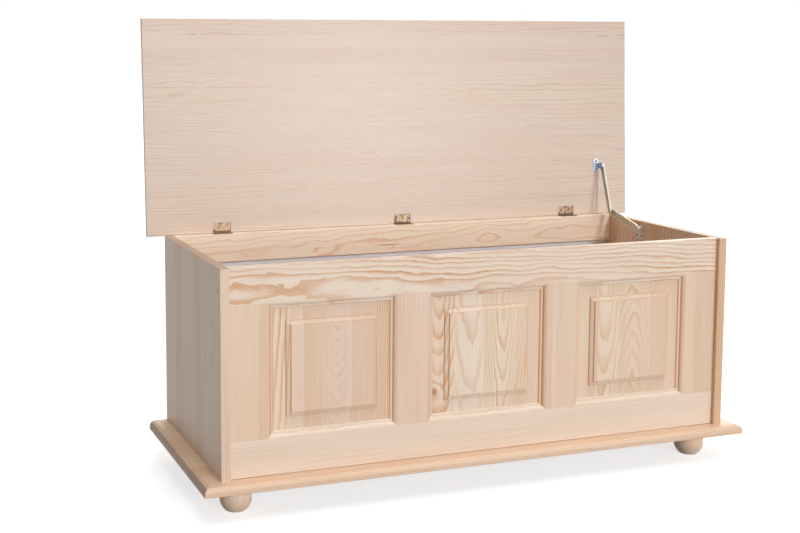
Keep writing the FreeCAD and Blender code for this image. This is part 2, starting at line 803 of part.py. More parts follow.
def at_x(point, x):
    return V(x, point.y, point.z)


def stay_arm(start, end, web, rim, width, knee_width):
    """Pressed channel arm with round ends: web is the closed face across the chest, rim the open one."""
    inward = math.copysign(ARM_WALL, rim - web)
    radius = width / 2
    knee_radius = knee_width / 2
    ends = ((start.z, start.y), (end.z, end.y))
    body = stadium(along_x, sorted((web, rim)), *ends, radius, knee_radius)
    layer = sorted((web + inward, rim + inward))
    hollow = stadium(along_x, layer, *ends, radius - ARM_WALL, knee_radius - ARM_WALL)
    bores = [
        rod(RIVET_RADIUS + RUNNING_FIT, at_x(point, web - inward), at_x(point, web + 2 * inward))
        for point in (start, end)
    ]
    return body.cut(Part.makeCompound([hollow] + bores))


def lid_pivot_open():
    return HINGE_POINT + FreeCAD.Rotation(AXIS_X, -LID_OPEN_ANGLE).multVec(LID_PIVOT_SHUT - HINGE_POINT)


def lid_bracket():
    """Plate under the lid with a lug that carries the upper arm, drawn with the lid shut."""
    low = LID_UNDER - BRACKET_THICK
    half = LID_PLATE_LENGTH / 2 - LID_PLATE_WIDTH / 2
    middle = LUG_OUT - LID_PLATE_WIDTH / 2
    pivot = LID_PIVOT_SHUT
    plate = stadium(
        along_z,
        (low, LID_UNDER),
        (middle, pivot.y - half),
        (middle, pivot.y + half),
        LID_PLATE_WIDTH / 2,
    )
    lug_radius = LUG_WIDTH / 2
    lug_root = (LID_UNDER - lug_radius, pivot.y)
    lug = stadium(along_x, (LUG_IN, LUG_OUT), (pivot.z, pivot.y), lug_root, lug_radius)
    boss = rod(BOSS_RADIUS, at_x(pivot, LUG_OUT), at_x(pivot, UPPER_ARM_OUT - ARM_WALL - SIDE_PLAY))
    bore = rod(RIVET_RADIUS + RUNNING_FIT, at_x(pivot, LUG_IN - PAST), at_x(pivot, UPPER_ARM_OUT))
    bracket = plate.multiFuse([lug, boss]).removeSplitter()
    return bracket.cut(Part.makeCompound([bore] + lid_bracket_screws(FIT)))


def lid_bracket_screws(grow=0.0):
    middle = LUG_OUT - LID_PLATE_WIDTH / 2
    rows = (LID_PIVOT_SHUT.y - LID_SCREW_SPREAD, LID_PIVOT_SHUT.y + LID_SCREW_SPREAD)
    heads = [V(middle, y, LID_UNDER - BRACKET_THICK) for y in rows]
    return screws(STAY_SCREW, heads, AXIS_Z, grow)


def lid_rivet():
    pivot = LID_PIVOT_SHUT
    return rivet(at_x(pivot, LUG_IN), at_x(pivot, UPPER_ARM_OUT + SIDE_PLAY))


def side_plate_middle():
    return SIDE_PIVOT + V(0, SIDE_PLATE_AHEAD, -SIDE_PLATE_DROP)


def side_bracket():
    """Plate on the right side with an ear and boss that carry the lower arm."""
    middle = side_plate_middle()
    half = SIDE_PLATE_LENGTH / 2 - SIDE_PLATE_HEIGHT / 2
    layer = (SIDE_IN - BRACKET_THICK, SIDE_IN)
    foot_plate = stadium(
        along_x,
        layer,
        (middle.z, middle.y - half),
        (middle.z, middle.y + half),
        SIDE_PLATE_HEIGHT / 2,
    )
    ear = stadium(along_x, layer, (SIDE_PIVOT.z, SIDE_PIVOT.y), (middle.z, middle.y), LUG_WIDTH / 2)
    boss = rod(BOSS_RADIUS, at_x(SIDE_PIVOT, layer[0]), at_x(SIDE_PIVOT, BOSS_END))
    bore = rod(RIVET_RADIUS + RUNNING_FIT, at_x(SIDE_PIVOT, layer[0]), at_x(SIDE_PIVOT, BOSS_END - PAST))
    bracket = foot_plate.multiFuse([ear, boss]).removeSplitter()
    return bracket.cut(Part.makeCompound([bore] + side_bracket_screws(FIT)))


def side_bracket_screws(grow=0.0):
    middle = side_plate_middle()
    rows = (middle.y - SIDE_SCREW_SPREAD, middle.y + SIDE_SCREW_SPREAD)
    heads = [V(SIDE_IN - BRACKET_THICK, y, middle.z) for y in rows]
    return screws(STAY_SCREW, heads, AXIS_X, grow)


def side_rivet():
    """Headed pin held in the boss of the side bracket."""
    root = at_x(SIDE_PIVOT, SIDE_IN - BRACKET_THICK)
    neck = at_x(SIDE_PIVOT, LOWER_ARM_OUT - ARM_WALL - SIDE_PLAY)
    head = neck - V(RIVET_HEAD_HEIGHT, 0, 0)
    return rod(RIVET_RADIUS, root, neck).fuse(rod(RIVET_HEAD_RADIUS, neck, head)).removeSplitter()


def knee_rivet(tip, neck, head):
    """One arm's half of the knee rivet, from the gap between the arms to its head."""
    shank = rod(RIVET_RADIUS, at_x(KNEE, tip), at_x(KNEE, neck))
    return shank.fuse(rod(RIVET_HEAD_RADIUS, at_x(KNEE, neck), at_x(KNEE, head))).removeSplitter()


def upper_knee_rivet():
    """The upper arm's half, with its head in the channel."""
    neck = UPPER_ARM_OUT - ARM_WALL
    return knee_rivet(UPPER_ARM_OUT, neck, neck - RIVET_HEAD_HEIGHT)


def lower_knee_rivet():
    """The lower arm's half, across the channel to a head behind the web."""
    return knee_rivet(LOWER_ARM_IN, LOWER_ARM_OUT, LOWER_ARM_OUT + RIVET_HEAD_HEIGHT)


def save_base():
    save("base_board", base_board())
    save("base_screws", *base_screws())
    save("foot_studs", *foot_studs())
    for name, centre in foot_places().items():
        save(name, foot(centre))


def save_carcass():
    save("left_side", side_board(-1))
    save("right_side", side_board(1))
    save("side_plugs", *plugs(-1), *plugs(1))
    save("side_screws", *side_screws(-1), *side_screws(1))
    save("back_rail", back_rail())
    save("back_panel", back_panel())
    save("back_panel_pins", *back_pins())


def save_front():
    names = ["front_left_stile", "front_left_muntin", "front_right_muntin", "front_right_stile"]
    members = {name: frame_upright(*limits) for name, limits in zip(names, uprights())}
    members["front_top_rail"] = frame_rail(TOP_JOINT, CARCASS_TOP)
    members["front_bottom_rail"] = frame_rail(BOTTOM_JOINT, FRAME_LOW)
    cuts = Part.makeCompound(frame_cuts())
    for name, member in members.items():
        save(name, member.cut(cuts))
    for name, limits in zip(PANEL_NAMES, openings()):
        save(name, panel(*limits))
    save("frame_dowels", *dowels())


def save_hinges():
    for name, middle in hinge_places().items():
        save(name + "_rail_leaf", hinge_leaf(middle, -1))
        save(name + "_lid_leaf", opened(hinge_leaf(middle, 1)))
        save(name + "_pin", hinge_pin(middle))
    save("rail_hinge_screws", *rail_hinge_screws())
    save("lid_hinge_screws", *[opened(piece) for piece in lid_hinge_screws()])


def save_stay():
    save("stay_lid_bracket", opened(lid_bracket()))
    save("stay_lid_screws", *[opened(piece) for piece in lid_bracket_screws()])
    save("stay_lid_rivet", opened(lid_rivet()))
    upper_widths = (UPPER_ARM_WIDTH, UPPER_KNEE_WIDTH)
    save("stay_upper_arm", stay_arm(lid_pivot_open(), KNEE, UPPER_ARM_OUT, UPPER_ARM_IN, *upper_widths))
    save("stay_upper_knee_rivet", upper_knee_rivet())
    lower_widths = (LOWER_ARM_WIDTH, LOWER_KNEE_WIDTH)
    save("stay_lower_arm", stay_arm(SIDE_PIVOT, KNEE, LOWER_ARM_OUT, LOWER_ARM_IN, *lower_widths))
    save("stay_lower_knee_rivet", lower_knee_rivet())
    save("stay_side_bracket", side_bracket())
    save("stay_side_screws", *side_bracket_screws())
    save("stay_side_rivet", side_rivet())


os.makedirs("parts", exist_ok=True)
save_base()
save_carcass()
save_front()
save_hinges()
save("lid_board", opened(lid_board()))
save_stay()
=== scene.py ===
"""Looks of a pine blanket chest with an open lid: materials, light, floor and camera."""
import json
import math
import random
from dataclasses import dataclass, field

import bpy
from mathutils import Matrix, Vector


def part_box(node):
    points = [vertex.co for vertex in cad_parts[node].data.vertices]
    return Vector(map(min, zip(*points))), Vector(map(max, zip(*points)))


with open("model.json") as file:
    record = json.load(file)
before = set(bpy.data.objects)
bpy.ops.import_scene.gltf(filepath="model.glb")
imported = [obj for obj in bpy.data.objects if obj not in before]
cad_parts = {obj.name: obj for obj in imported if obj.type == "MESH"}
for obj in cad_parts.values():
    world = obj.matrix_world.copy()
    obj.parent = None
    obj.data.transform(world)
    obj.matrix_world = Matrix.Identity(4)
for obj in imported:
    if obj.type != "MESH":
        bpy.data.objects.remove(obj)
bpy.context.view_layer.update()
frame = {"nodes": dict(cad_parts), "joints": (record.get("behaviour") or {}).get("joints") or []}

MM = 1000.0

# Camera, as found from the corners of the chest: the eye in metres, angles in degrees, the rest in pixels
IMAGE_WIDTH = 800
IMAGE_HEIGHT = 533
SENSOR_MM = 36.0
FOCAL_PX = 1292.1
CENTRE_PX = (315.0, 185.0)
EYE = (-1.1748, -2.4612, 0.8798)
YAW = 19.84
PITCH = 6.24

# Light: suns from the front, from overhead, from low on the right and from behind, and an even surrounding
KEY = {"azimuth": 9.0, "elevation": 20.0, "strength": 1.1, "softness": 9.0, "colour": (1.0, 0.99, 0.97)}
TOP = {"azimuth": 5.0, "elevation": 74.0, "strength": 1.7, "softness": 45.0, "colour": (1.0, 0.99, 0.97)}
LOW = {"azimuth": 22.0, "elevation": 3.0, "strength": 0.5, "softness": 8.0, "colour": (1.0, 1.0, 1.0)}
BACK = {"azimuth": 142.0, "elevation": 36.0, "strength": 1.5, "softness": 40.0, "colour": (1.0, 1.0, 1.0)}
AMBIENT = 0.12
AMBIENT_COLOUR = (0.99, 0.99, 1.0, 1.0)

# Floor, in metres: just under the feet, showing as white, with the shadow of the chest
FLOOR_SIZE = 60.0
FLOOR_DROP = 0.0002
FLOOR_COLOUR = (0.45, 0.45, 0.45)
FLOOR_GLOW = 0.72


def srgb(red, green, blue):
    """Linear colour from 0 to 255 display values."""
    channels = [value / 255 for value in (red, green, blue)]
    linear = [c / 12.92 if c <= 0.04045 else ((c + 0.055) / 1.055) ** 2.4 for c in channels]
    return (*linear, 1.0)


# Wood colours, from pinkish boards to yellowish ones
EARLY_PINK = srgb(235, 217, 204)
EARLY_YELLOW = srgb(236, 217, 191)
LATE_PINK = srgb(207, 154, 111)
LATE_YELLOW = srgb(210, 157, 100)
SPOT_WOOD = srgb(142, 80, 42)
END_PORES = srgb(142, 120, 102)
END_WOOD = srgb(192, 174, 158)

# Lengths over which the wood varies, along the grain, across it and through it, in millimetres
QUICK_WANDER = (50, 18, 18)
RAGGED_EDGE = (9, 4, 4)
LATE_FADE = (350, 50, 50)
STREAK = (160, 2.4, 2.4)
FIBRE = (30, 0.45, 0.45)
CLOUD = (300, 35, 35)
PORES = (3, 0.6, 0.6)
SWELL_SHARE = 0.35

# How strongly the wood varies
QUICK_SHARE = 0.7
RAGGED_REACH = 0.5
STREAK_SHADE = 0.11
FIBRE_SHADE = 0.05
CLOUD_TAN = 0.14
LATE_SHINE = 0.08
PINE_BUMP = (0.25, 0.0003)
PINE_SPECULAR = 0.38

# Where in a year the late wood is full and where it ends, and how much sooner strong late wood starts
LATE_FULL = 0.95
LATE_END = 0.97
LATE_SOONER = 0.45

# How far apart in the trunk boards and staves were cut, in millimetres, and how far their years differ
BOARD_STEP = 137.0
STAVE_STEP = 900.0
YEAR_STEP = 50.0

# Reach of the stave numbers that a colour ramp carries
SIDE_REACH = 300.0
LEAN_REACH = 0.3
RING_REACH = 20.0


class Graph:
    """Short ways to add shader nodes to a tree and join them."""

    def __init__(self, tree):
        self.tree = tree
        tree.nodes.clear()

    def node(self, kind, inputs=(), **settings):
        """A new node, with the given settings, and with inputs by name or number set or linked."""
        made = self.tree.nodes.new(kind)
        for name, value in settings.items():
            setattr(made, name, value)
        for key, value in dict(inputs).items():
            self.feed(made.inputs[key], value)
        return made

    def feed(self, socket, value):
        if isinstance(value, bpy.types.NodeSocket):
            self.tree.links.new(value, socket)
        else:
            socket.default_value = value

    def math(self, operation, *values, clamp=False):
        made = self.node("ShaderNodeMath", dict(enumerate(values)), operation=operation, use_clamp=clamp)
        return made.outputs[0]

    def total(self, first, *others):
        for other in others:
            first = self.math("ADD", first, other)
        return first

    def vector(self, operation, *values):
        made = self.node("ShaderNodeVectorMath", dict(enumerate(values)), operation=operation)
        return made.outputs["Value" if operation in ("LENGTH", "DOT_PRODUCT") else "Vector"]

    def mix(self, factor, first, second, blend="MIX"):
        made = self.node("ShaderNodeMix", data_type="RGBA", blend_type=blend)
        self.feed(made.inputs[0], factor)
        self.feed(made.inputs[6], first)
        self.feed(made.inputs[7], second)
        return made.outputs[2]

    def combine(self, x, y, z):
        return self.node("ShaderNodeCombineXYZ", {0: x, 1: y, 2: z}).outputs[0]

    def separate(self, vector):
        return self.node("ShaderNodeSeparateXYZ", {0: vector}).outputs

    def noise(self, vector, lengths, detail=2.0, roughness=0.5):
        """Noise between about 0 and 1, with features of the given lengths along each axis."""
        scaled = self.vector("DIVIDE", vector, lengths)
        inputs = {"Vector": scaled, "Scale": 1.0, "Detail": detail, "Roughness": roughness}
        return self.node("ShaderNodeTexNoise", inputs).outputs["Fac"]

    def centred(self, value, reach):
        """A 0 to 1 value turned into one from minus reach to reach."""
        return self.math("MULTIPLY_ADD", value, 2.0 * reach, -reach)

    def remap(self, value, from_low, from_high, to_low=0.0, to_high=1.0, kind="SMOOTHSTEP"):
        inputs = {0: value, 1: from_low, 2: from_high, 3: to_low, 4: to_high}
        return self.node("ShaderNodeMapRange", inputs, interpolation_type=kind).outputs[0]

    def ramp(self, value, stops, interpolation="LINEAR"):
        """Colour ramp through (place, four levels) stops: its red, green, blue and alpha."""
        made = self.node("ShaderNodeValToRGB", {0: value})
        made.color_ramp.interpolation = interpolation
        elements = made.color_ramp.elements
        elements.remove(elements[1])
        for _ in stops[1:]:
            elements.new(1.0)
        for element, (place, levels) in zip(elements, stops):
            element.position = place
            element.color = levels
        return (*self.separate(made.outputs["Color"]), made.outputs["Alpha"])


@dataclass
class Stave:
    """One strip of a glued board, or a whole board. Lengths are in millimetres."""

    width: float = 1.0      # share of the board's width
    side: float = 0.0       # the pith's place across, from the middle of the stave
    depth: float = 45.0     # the pith's place through the thickness
    lean: float = 0.03      # slope of the pith to the face
    ring: float = 4.0       # mean width of a year ring
    tone: float = 0.4       # 0 pinkish, 1 yellowish
    tan: float = 0.15       # how far the early wood is tanned
    contrast: float = 0.5   # strength of the late wood


@dataclass
class Spot:
    """A knot or slit: its place and half sizes along the grain and across it, in millimetres."""

    along: float
    across: float
    half_length: float
    half_width: float
    dark: float             # strength of the dark wood
    bend: float             # how far the year rings swerve around it


@dataclass
class Board:
    """How one piece of pine was cut and glued."""

    grain: str              # axes along the grain, across the face, and through the thickness
    seed: float
    staves: list = field(default_factory=lambda: [Stave()])
    spots: list = field(default_factory=list)
    wave: float = 3.0       # how far the rings wander, in millimetres
    swell: float = 260.0    # how long such a wander is, in millimetres
    sweep: float = 0.0      # slope of the pith across the face
    late: float = 0.8       # where in a year ring the faintest late wood starts
    even: float = 0.45      # share of the late wood that the faintest years keep
    routed_tan_and_shade: float = 0.0     # how far the faces cut sideways are tanned, partly as cross-grain wood and partly as painted warm shade
    end: float = 0.3        # how dark the end grain is
    turn: tuple = (0.0, 0.0, 0.0)  # turn of the piece before its axes are read, in degrees
    rough: tuple = (0.42, 0.54)  # roughness, from the smoothest streaks to the roughest
    value: float = 1.0      # brightness of the whole piece, which for some pieces is painted light or shade


def glued(seed, count, contrast, tan, tone=(0.1, 0.8)):
    """Staves of a glued board whose cut is not important, picked by chance from a seed."""
    chance = random.Random(seed)
    return [Stave(chance.uniform(0.7, 1.3), chance.uniform(-60, 60), chance.uniform(30, 70),
                  chance.uniform(-0.04, 0.04), chance.uniform(2.8, 4.6), chance.uniform(*tone),
                  chance.uniform(0.5, 1.5) * tan, chance.uniform(0.6, 1.2) * contrast) for _ in range(count)]


# Staves and spots of the boards, from the left, from the bottom or from the front
LEFT_PANEL = [
    Stave(43, side=-45, depth=60, lean=0.06, ring=8.0, tone=0.8, tan=0.09, contrast=0.94),
    Stave(25, side=60, depth=40, ring=3.0, tone=0.4, tan=0.19, contrast=0.27),
    Stave(38, side=90, depth=30, lean=0.01, ring=3.5, tone=0.4, tan=0.37, contrast=0.54),
    Stave(48, side=6, depth=40, lean=0.16, ring=3.6, tone=0.25, tan=0.29, contrast=0.3),
    Stave(10, side=60, depth=40, ring=3.0, tone=0.0, tan=0.22, contrast=0.14),
    Stave(52, side=110, depth=30, lean=0.01, ring=2.6, tone=0.3, tan=0.39, contrast=0.34),
    Stave(38, side=80, depth=30, lean=0.01, ring=5.0, tone=0.5, tan=0.37, contrast=1),
]
CENTRE_PANEL = [
    Stave(53, side=-4, depth=32, lean=0.2, ring=8.0, tone=0.35, tan=0.16, contrast=1),
    Stave(64, side=4, depth=50, lean=0.07, ring=8.0, tone=0.3, tan=0.05, contrast=0.65),
    Stave(71, side=8, depth=26, lean=0.04, ring=3.6, tone=0.6, tan=0.1, contrast=0.72),
    Stave(66, side=-48, depth=30, lean=0.05, ring=3.6, tone=0.6, tan=0.2, contrast=0.72),
]
RIGHT_PANEL = [
    Stave(31, side=90, depth=30, ring=3.0, tone=0.5, tan=0.23, contrast=0.29),
    Stave(19, side=90, depth=30, ring=3.0, tone=0.2, tan=0.37, contrast=0.29),
    Stave(53, side=-8, depth=34, lean=0.05, ring=5.0, tone=0.6, tan=0.13, contrast=0.87),
    Stave(71, side=-4, depth=34, lean=-0.12, ring=4.6, tone=0.5, tan=0.21, contrast=0.65),
    Stave(41, side=90, depth=30, lean=0.01, ring=3.0, tone=0.4, tan=0.35, contrast=0.51),
    Stave(39, side=70, depth=30, lean=0.01, ring=5.5, tone=0.6, tan=0.21, contrast=0.87),
]
LID = [
    Stave(40, side=-60, depth=40, lean=0.004, ring=4.2, tone=0.21, tan=0.12, contrast=0.45),
    Stave(55, side=50, depth=50, lean=-0.004, ring=5.1, tone=0.21, tan=0.1, contrast=0.5),
    Stave(60, side=-50, depth=50, lean=0.005, ring=3.9, tone=0.17, tan=0.09, contrast=0.5),
    Stave(65, side=60, depth=50, lean=0.004, ring=4.8, tone=0.14, tan=0.11, contrast=0.5),
    Stave(55, side=-60, depth=50, lean=-0.005, ring=3.9, tone=0.21, tan=0.08, contrast=0.55),
    Stave(42, side=40, depth=50, lean=0.01, ring=5.1, tone=0.28, tan=0.1, contrast=0.6),
    Stave(48, side=-40, depth=50, lean=0.006, ring=4.2, tone=0.14, tan=0.11, contrast=0.5),
    Stave(35, side=80, depth=50, lean=0.004, ring=3.4, tone=0, tan=0.17, contrast=0.25),
    Stave(27, side=80, depth=50, lean=0.004, ring=3.4, tone=0.14, tan=0.09, contrast=0.2),
    Stave(36, side=-30, depth=40, lean=0.008, ring=4.2, tone=0.03, tan=0.18, contrast=0.55),
]
LID_SPOTS = [
    Spot(-519, 70, 26, 5, 0.14, 7),
    Spot(-481, 197, 10, 1.0, 0.45, 0),
    Spot(-384, 197, 26, 0.8, 0.35, 0),
    Spot(528, 197, 18, 2.2, 0.35, 2),
    Spot(582, 198, 10, 1.5, 0.3, 0),
]
STILE_LEFT = [
    Stave(58, side=120, depth=40, ring=3.2, tone=0.7, tan=0.23, contrast=0.24),
    Stave(30, side=120, depth=40, ring=3.0, tone=0.4, tan=0.39, contrast=0.36),
]
STILE_RIGHT = [
    Stave(40, side=120, depth=40, ring=3.2, tone=0.6, tan=0.27, contrast=0.28),
    Stave(48, side=50, depth=40, ring=3.4, tone=0.4, tan=0.35, contrast=0.63),
]
MUNTIN_LEFT = [Stave(side=150, depth=40, lean=0.01, ring=3.0, tone=0.2, tan=0.18, contrast=0.8)]
MUNTIN_RIGHT = [
    Stave(26, side=140, depth=40, ring=3.0, tone=0.4, tan=0.36, contrast=0.6),
    Stave(66, side=140, depth=40, ring=3.0, tone=0.4, tan=0.2, contrast=0.6),
]
TOP_RAIL = [Stave(side=-30, depth=22, lean=0.01, ring=8.0, tone=0.25, tan=0.04, contrast=1.0)]
BOTTOM_RAIL = [Stave(side=-120, depth=50, lean=0.02, ring=3.8, tone=0.35, tan=0.04, contrast=0.45)]
BACK_RAIL = [Stave(side=-20, depth=24, lean=0.02, ring=7.0, tone=0.45, tan=0.0, contrast=0.6)]
LEFT_SIDE_SPOTS = [Spot(128, 203, 5, 3, 0.9, 2)]
RIGHT_SIDE_SPOTS = [Spot(150, -10, 14, 7, 0.15, 8)]
BACK_RAIL_SPOTS = [Spot(-42, -13, 36, 1.3, 0.8, 0)]
CENTRE_PANEL_SPOTS = [Spot(-72, -113, 9, 7, 0.5, 9)]
BASE_FRONT = Stave(side=55, depth=35, ring=3.5, tone=0.35, tan=0.42, contrast=0.5)

# How far the routed edges are tanned: partly the colour of wood cut across its fibres, partly painted warm
# shade in the mouldings
ROUTED_TAN_AND_SHADE = 0.45

# Turns of the leaning lid and of the feet before their grain is read, in degrees
LID_LEAN = (3.0, 0.0, 0.0)
FOOT_TURN = (0.0, 0.0, 38.0)


def foot(seed, side, depth):
    """A turned foot whose pith lies beside its axis."""
    stave = Stave(side=side, depth=depth, ring=3.2, tan=0.04, contrast=0.9)
    # Painted light: value 1.2 and the weak end-grain darkening make the feet brighter than their wood,
    # standing in for light the overhanging base keeps off them.
    return Board("yxz", seed, [stave], end=0.1, turn=FOOT_TURN, value=1.2)


BOARDS = {
    "lid_board": Board("xzy", 3, LID, LID_SPOTS, wave=3.5, late=0.88, even=0.1, end=0.65, turn=LID_LEAN,
                       rough=(0.25, 0.34), value=0.85),
    "base_board": Board("xyz", 8, [BASE_FRONT] + glued(8, 6, 0.6, 0.42, (0.6, 0.9)), end=0.9),
    # Painted shade: value 0.97 makes the left side a little darker, for the side that is turned from the
    # light.
    "left_side": Board("zyx", 12, glued(12, 7, 0.4, 0.28), LEFT_SIDE_SPOTS, end=0.6, value=0.97),
    "right_side": Board("zyx", 15, glued(15, 7, 1.0, 0.4, (0.5, 0.9)), RIGHT_SIDE_SPOTS, end=0.6),
    "front_top_rail": Board("xzy", 21, TOP_RAIL, wave=7, sweep=-0.045),
    "front_bottom_rail": Board("xzy", 22, BOTTOM_RAIL),
    # Painted light: value 1.12 makes the back rail brighter, standing in for light that its place inside the
    # chest keeps off it.
    "back_rail": Board("xzy", 23, BACK_RAIL, BACK_RAIL_SPOTS, wave=6, swell=180, sweep=0.03, value=1.12),
    "front_left_stile": Board("zxy", 31, STILE_LEFT, wave=1.2, routed_tan_and_shade=ROUTED_TAN_AND_SHADE),
    "front_left_muntin": Board("zxy", 32, MUNTIN_LEFT, wave=1.5, routed_tan_and_shade=ROUTED_TAN_AND_SHADE),
    "front_right_muntin": Board("zxy", 33, MUNTIN_RIGHT, wave=1.5, routed_tan_and_shade=ROUTED_TAN_AND_SHADE),
    "front_right_stile": Board("zxy", 34, STILE_RIGHT, wave=1.5, routed_tan_and_shade=ROUTED_TAN_AND_SHADE),
    "left_panel": Board("zxy", 41, LEFT_PANEL, wave=2, routed_tan_and_shade=ROUTED_TAN_AND_SHADE),
    "centre_panel": Board("zxy", 42, CENTRE_PANEL, CENTRE_PANEL_SPOTS, routed_tan_and_shade=ROUTED_TAN_AND_SHADE),
    "right_panel": Board("zxy", 43, RIGHT_PANEL, routed_tan_and_shade=ROUTED_TAN_AND_SHADE),
    "front_left_foot": foot(51, -6, 4),
    "front_right_foot": foot(52, -8, 6),
    "back_left_foot": foot(53, 6, -4),
    "back_right_foot": foot(54, -5, 2),
    "side_plugs": Board("xzy", 61, [Stave(side=30, depth=20, ring=3.0, tan=0.3)], value=0.9),
    "frame_dowels": Board("zxy", 62, [Stave(side=30, depth=20, ring=3.0)]),
}


def material(name):
    made = bpy.data.materials.new(name)
    made.use_nodes = True
    return made, Graph(made.node_tree)


def surface(graph, colour, roughness, height, bump, **constants):
    """Principled surface from varying colour, roughness and height, and constant settings."""
    inputs = {"Height": height, "Strength": bump[0], "Distance": bump[1]}
    normal = graph.node("ShaderNodeBump", inputs).outputs[0]
    inputs = {"Base Color": colour, "Roughness": roughness, "Normal": normal}
    inputs.update({name.replace("_", " "): value for name, value in constants.items()})
    shader = graph.node("ShaderNodeBsdfPrincipled", inputs)
    graph.node("ShaderNodeOutputMaterial", {"Surface": shader.outputs[0]})


def turned(graph, vector, turn):
    inputs = {"Vector": vector, "Rotation": tuple(math.radians(angle) for angle in turn)}
    return graph.node("ShaderNodeVectorRotate", inputs, rotation_type="EULER_XYZ").outputs[0]


def ramp_level(value, reach):
    """A value from minus reach to reach turned into one from 0 to 1, as a colour ramp carries it."""
    return value / reach / 2 + 0.5


def stave_numbers(graph, board, across, width):
    """Ramps that give, at any place across a board, the numbers of the stave there."""
    place = graph.math("MULTIPLY_ADD", across, 1 / width, 0.5)
    scale = 1 / sum(stave.width for stave in board.staves)
    chance = random.Random(board.seed)
    looks = []
    cuts = []
    start = 0.0
    for stave in board.staves:
        middle = (start + stave.width * scale / 2 - 0.5) * width
        looks.append((start, (stave.tone, stave.tan, stave.contrast, chance.random())))
        side = ramp_level(middle + stave.side, SIDE_REACH)
        depth = ramp_level(stave.depth, SIDE_REACH)
        lean = ramp_level(stave.lean, LEAN_REACH)
        cuts.append((start, (side, depth, lean, stave.ring / RING_REACH)))
        start += stave.width * scale
    look = graph.ramp(place, looks, "CONSTANT")
    side, depth, lean, ring = graph.ramp(place, cuts, "CONSTANT")
    side = graph.centred(side, SIDE_REACH)
    depth = graph.centred(depth, SIDE_REACH)
    lean = graph.centred(lean, LEAN_REACH)
    ring = graph.math("MULTIPLY", ring, RING_REACH)
    return look, (side, depth, lean, ring)


def spot_marks(graph, board, along, across):
    """Dark wood of the knots and slits of a board, and the swerve of its rings around them."""
    dark = 0.0
    swerve = 0.0
    for spot in board.spots:
        far = graph.math("MULTIPLY_ADD", along, 1 / spot.half_length, -spot.along / spot.half_length)
        wide = graph.math("MULTIPLY_ADD", across, 1 / spot.half_width, -spot.across / spot.half_width)
        reach = graph.vector("LENGTH", graph.combine(far, wide, 0.0))
        dark = graph.math("MULTIPLY_ADD", graph.remap(reach, 0.5, 1.1, 1.0, 0.0), spot.dark, dark)
        swerve = graph.math("MULTIPLY_ADD", graph.remap(reach, 0.0, 3.5, 1.0, 0.0), spot.bend, swerve)
    return dark, swerve


def board_axes(graph, place, low, high, board):
    """Millimetres from the middle of a piece along its grain, across its face and through its thickness."""
    middle = tuple((low + high) / 2)
    point = turned(graph, graph.vector("SUBTRACT", place.outputs["Object"], middle), board.turn)
    axes = dict(zip("xyz", graph.separate(point)))
    return [graph.math("MULTIPLY", axes[letter], MM) for letter in board.grain]


def late_wood(graph, board, axes, point, contrast, shift, cut, swerve):
    """Late wood of the year rings, from the distance to a pith that wanders along the stave."""
    along, across, through = axes
    side, depth, lean, ring = cut
    swell = (board.swell, SWELL_SHARE * board.swell, SWELL_SHARE * board.swell)
    slow = graph.centred(graph.noise(point, swell), 2.0 * board.wave)
    quick = graph.centred(graph.noise(point, QUICK_WANDER), QUICK_SHARE * board.wave)
    ragged = graph.centred(graph.noise(point, RAGGED_EDGE), RAGGED_REACH)
    side_step = graph.math("SUBTRACT", graph.math("MULTIPLY_ADD", along, -board.sweep, across), side)
    deep_step = graph.math("SUBTRACT", graph.math("MULTIPLY_ADD", along, lean, through), depth)
    distance = graph.vector("LENGTH", graph.combine(side_step, deep_step, 0.0))
    phase = graph.math("DIVIDE", graph.total(distance, slow, quick, ragged, swerve), ring)

    # The late wood darkens slowly within a year and ends sharply, stronger in some years than in others
    within = graph.math("FRACT", phase)
    rise = graph.remap(within, graph.math("MULTIPLY_ADD", contrast, -LATE_SOONER, board.late), LATE_FULL)
    late = graph.math("MULTIPLY", rise, graph.remap(within, LATE_END, 1.0, 1.0, 0.0))
    year = graph.math("ADD", graph.math("FLOOR", phase), graph.math("MULTIPLY", shift, YEAR_STEP))
    pick = graph.node("ShaderNodeTexWhiteNoise", {"W": year}, noise_dimensions="1D").outputs["Value"]
    late = graph.math("MULTIPLY", late, graph.remap(pick, 0.0, 1.0, board.even, 1.0, "LINEAR"))
    fade = graph.remap(graph.noise(point, LATE_FADE), 0.3, 0.65, 0.5, 1.15)
    return graph.math("MULTIPLY", late, fade)


def end_grain(graph, board, point, facing, colour):
    """The colour made darker and speckled where the surface cuts across the grain."""
    share = graph.remap(facing[board.grain[0]], 0.15, 0.7, 0.0, board.end)
    pores = graph.noise(point, PORES, 2.0, 0.6)
    shade = graph.mix(graph.remap(pores, 0.35, 0.65), END_PORES, END_WOOD)
    return graph.mix(share, colour, graph.mix(1.0, colour, shade, "MULTIPLY"))


